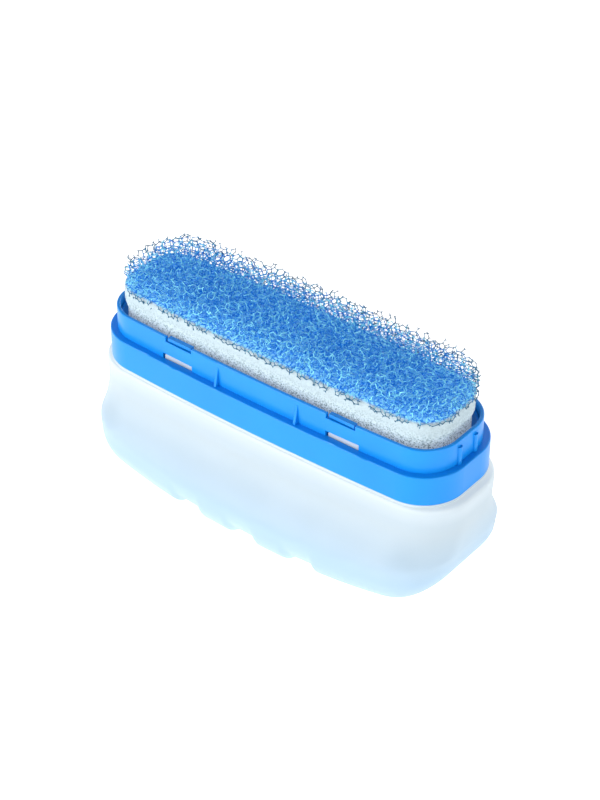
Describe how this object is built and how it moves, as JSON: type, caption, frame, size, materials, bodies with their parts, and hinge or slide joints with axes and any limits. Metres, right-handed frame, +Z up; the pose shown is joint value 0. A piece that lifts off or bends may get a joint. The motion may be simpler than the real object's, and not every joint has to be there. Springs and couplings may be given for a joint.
{
  "type": "sponge filter cartridge",
  "caption": "Slim rounded filter cartridge: coarse foam pad over a fine foam pad in a clip-on rim frame with a basket, on a frosted tub with a fluted floor.",
  "frame": {"origin": "centre of the footprint, on the plane that the tub's underside stands on", "axes": "+X along the cartridge's length, +Y across it, +Z up through the foam pads"},
  "size_m": [0.1552, 0.0654, 0.0865],
  "materials": {
    "frosted_tub": "frosted, translucent",
    "grid_plastic": "moulded, matt",
    "lower_foam": "fine open-cell foam",
    "rim_plastic": "moulded, satin",
    "seal_rubber": "soft, matt",
    "basket_plastic": "moulded, satin",
    "fine_foam": "fine open-cell foam",
    "coarse_foam": "coarse reticulated foam, glossy struts"
  },
  "bodies": {
    "tub_body": {"tub": "frosted_tub"},
    "grid_body": {"base_grid": "grid_plastic"},
    "lower_pad_body": {"lower_foam": "lower_foam"},
    "frame_body": {"rim_frame": "rim_plastic", "rim_seal": "seal_rubber"},
    "basket_body": {"foam_basket": "basket_plastic"},
    "fine_pad_body": {"fine_foam": "fine_foam"},
    "coarse_pad_body": {"coarse_foam": "coarse_foam"}
  },
  "joints": [
    {"name": "grid_lift", "type": "slide", "parent": "tub_body", "child": "grid_body", "axis": [0, 0, 1], "range_m": [0, 0.055]},
    {"name": "lower_pad_lift", "type": "slide", "parent": "grid_body", "child": "lower_pad_body", "axis": [0, 0, 1], "range_m": [0, 0.05]},
    {"name": "frame_lift", "type": "slide", "parent": "lower_pad_body", "child": "frame_body", "axis": [0, 0, 1], "range_m": [0, 0.03]},
    {"name": "basket_lift", "type": "slide", "parent": "frame_body", "child": "basket_body", "axis": [0, 0, 1], "range_m": [0, 0.025]},
    {"name": "fine_pad_lift", "type": "slide", "parent": "basket_body", "child": "fine_pad_body", "axis": [0, 0, 1], "range_m": [0, 0.022]},
    {"name": "coarse_pad_lift", "type": "slide", "parent": "fine_pad_body", "child": "coarse_pad_body", "axis": [0, 0, 1], "range_m": [0, 0.015]}
  ]
}
